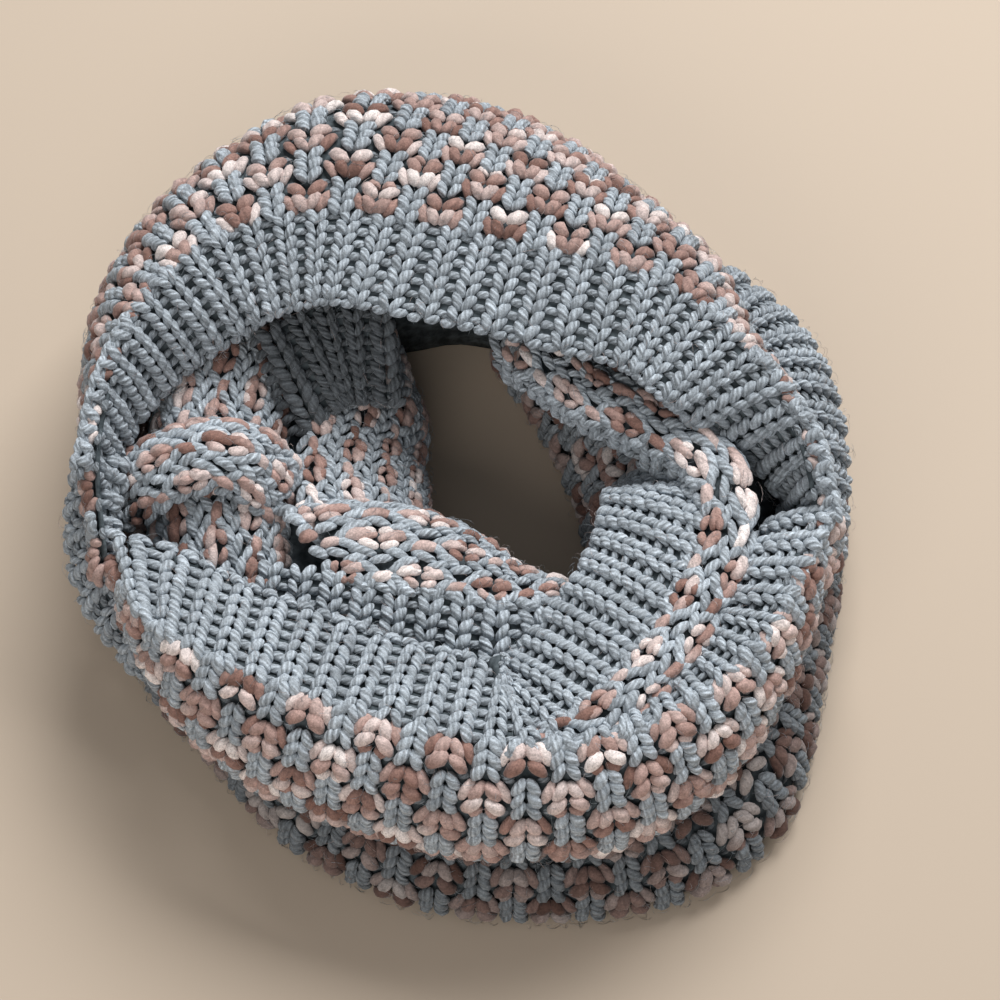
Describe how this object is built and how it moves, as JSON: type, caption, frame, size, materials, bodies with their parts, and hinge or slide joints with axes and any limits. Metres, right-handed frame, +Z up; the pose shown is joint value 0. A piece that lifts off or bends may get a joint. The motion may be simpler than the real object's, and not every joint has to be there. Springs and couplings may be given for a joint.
{
  "type": "infinity scarf",
  "caption": "Chunky knitted infinity scarf with ribbed edges and a two-colour staggered body, wound double and laid in a soft ring.",
  "frame": {"origin": "middle of the scarf's outline, on the surface it lies on", "axes": "+Z up, +X to the viewer's right, +Y away from the viewer"},
  "size_m": [0.2746, 0.2968, 0.0952],
  "materials": {
    "grey_yarn": "chunky plied acrylic and wool yarn in blue-grey, knitted in k1p1 rib, soft fuzzy halo, matt",
    "two_yarns": "blue-grey yarn knitted with a variegated dusty pink, terracotta and off-white roving yarn, matt"
  },
  "bodies": {
    "root": {"back_upper_rib": "grey_yarn", "back_upper_body": "two_yarns", "front_upper_rib": "grey_yarn", "front_upper_body": "two_yarns", "right_upper_rib": "grey_yarn", "fold_strip_floats": "two_yarns", "fold_strip_rib": "grey_yarn", "left_lower_rib": "grey_yarn", "right_lower_rib": "grey_yarn", "lower_front_body": "two_yarns", "lower_back_body": "two_yarns", "inner_front_floats": "two_yarns", "inner_front_rib": "grey_yarn", "inner_left_floats": "two_yarns", "inner_left_strap": "two_yarns", "inner_left_wall": "two_yarns", "inner_back_rib": "grey_yarn", "inner_right_wall": "two_yarns", "hidden_layers": "two_yarns"}
  },
  "joints": []
}
